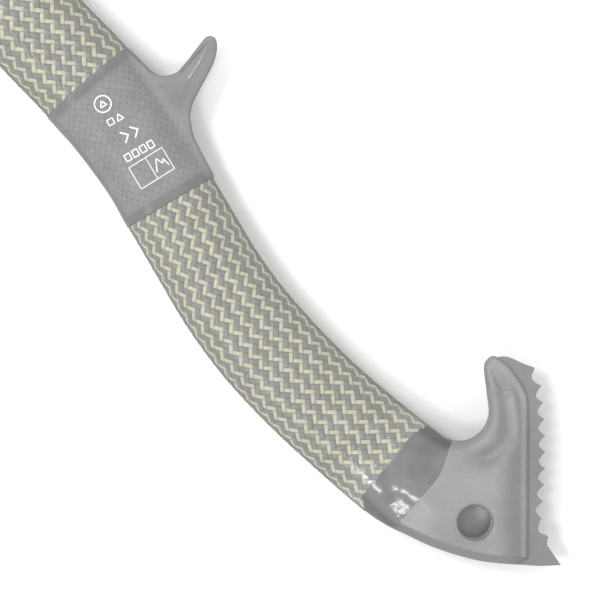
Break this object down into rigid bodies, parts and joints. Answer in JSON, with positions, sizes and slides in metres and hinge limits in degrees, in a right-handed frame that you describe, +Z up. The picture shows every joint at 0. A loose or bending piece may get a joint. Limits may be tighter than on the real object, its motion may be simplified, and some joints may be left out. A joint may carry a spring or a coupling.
{
  "type": "ice axe",
  "caption": "Short curved composite ice axe with a moulded finger rest, hooked pommel with serrated spike plate, toothed pick and hammer head, stored lying on its side.",
  "frame": {"origin": "centre of the bottom of the tool's box, on the surface it lies on", "axes": "+X towards the pick, +Y up the shaft towards the head, +Z up out of the side that shows"},
  "size_m": [0.1879, 0.4994, 0.022],
  "materials": {
    "carbon_tube": "bare carbon-fibre tube, inside",
    "aramid_carbon_braid": "zigzag braid of pale and dark tows under clear resin",
    "carbon_cuff": "fine carbon weave under clear resin",
    "glossy_resin": "glossy dark resin",
    "structural_foam": "rigid foam-filled plug",
    "pommel_moulding": "satin moulded plastic",
    "coated_spike_steel": "satin grey coated steel",
    "ferrule_alloy": "satin aluminium ring",
    "head_alloy": "dark anodised forged aluminium alloy",
    "pick_steel": "ground chromoly steel",
    "hammer_steel": "turned steel",
    "fastener_steel": "zinc-plated steel"
  },
  "bodies": {
    "root": {"shaft_tube": "carbon_tube", "upper_sleeve": "aramid_carbon_braid", "grip_sleeve": "aramid_carbon_braid", "finger_rest_cuff": "carbon_cuff", "pommel_collar": "glossy_resin", "pommel_spigot": "structural_foam", "pommel_right_shell": "pommel_moulding", "pommel_left_shell": "pommel_moulding", "spike_plate": "coated_spike_steel", "plate_dowels": "fastener_steel", "lanyard_ferrule": "ferrule_alloy", "head_core": "head_alloy", "head_collar": "glossy_resin", "head_pins": "fastener_steel", "head_right_cheek": "head_alloy", "head_left_cheek": "head_alloy", "cheek_rivets": "fastener_steel", "pick": "pick_steel", "pick_bolts": "fastener_steel", "pick_nuts": "fastener_steel", "pick_washers": "fastener_steel", "hammer": "hammer_steel", "hammer_bolt": "fastener_steel", "hammer_nut": "fastener_steel"}
  },
  "joints": []
}
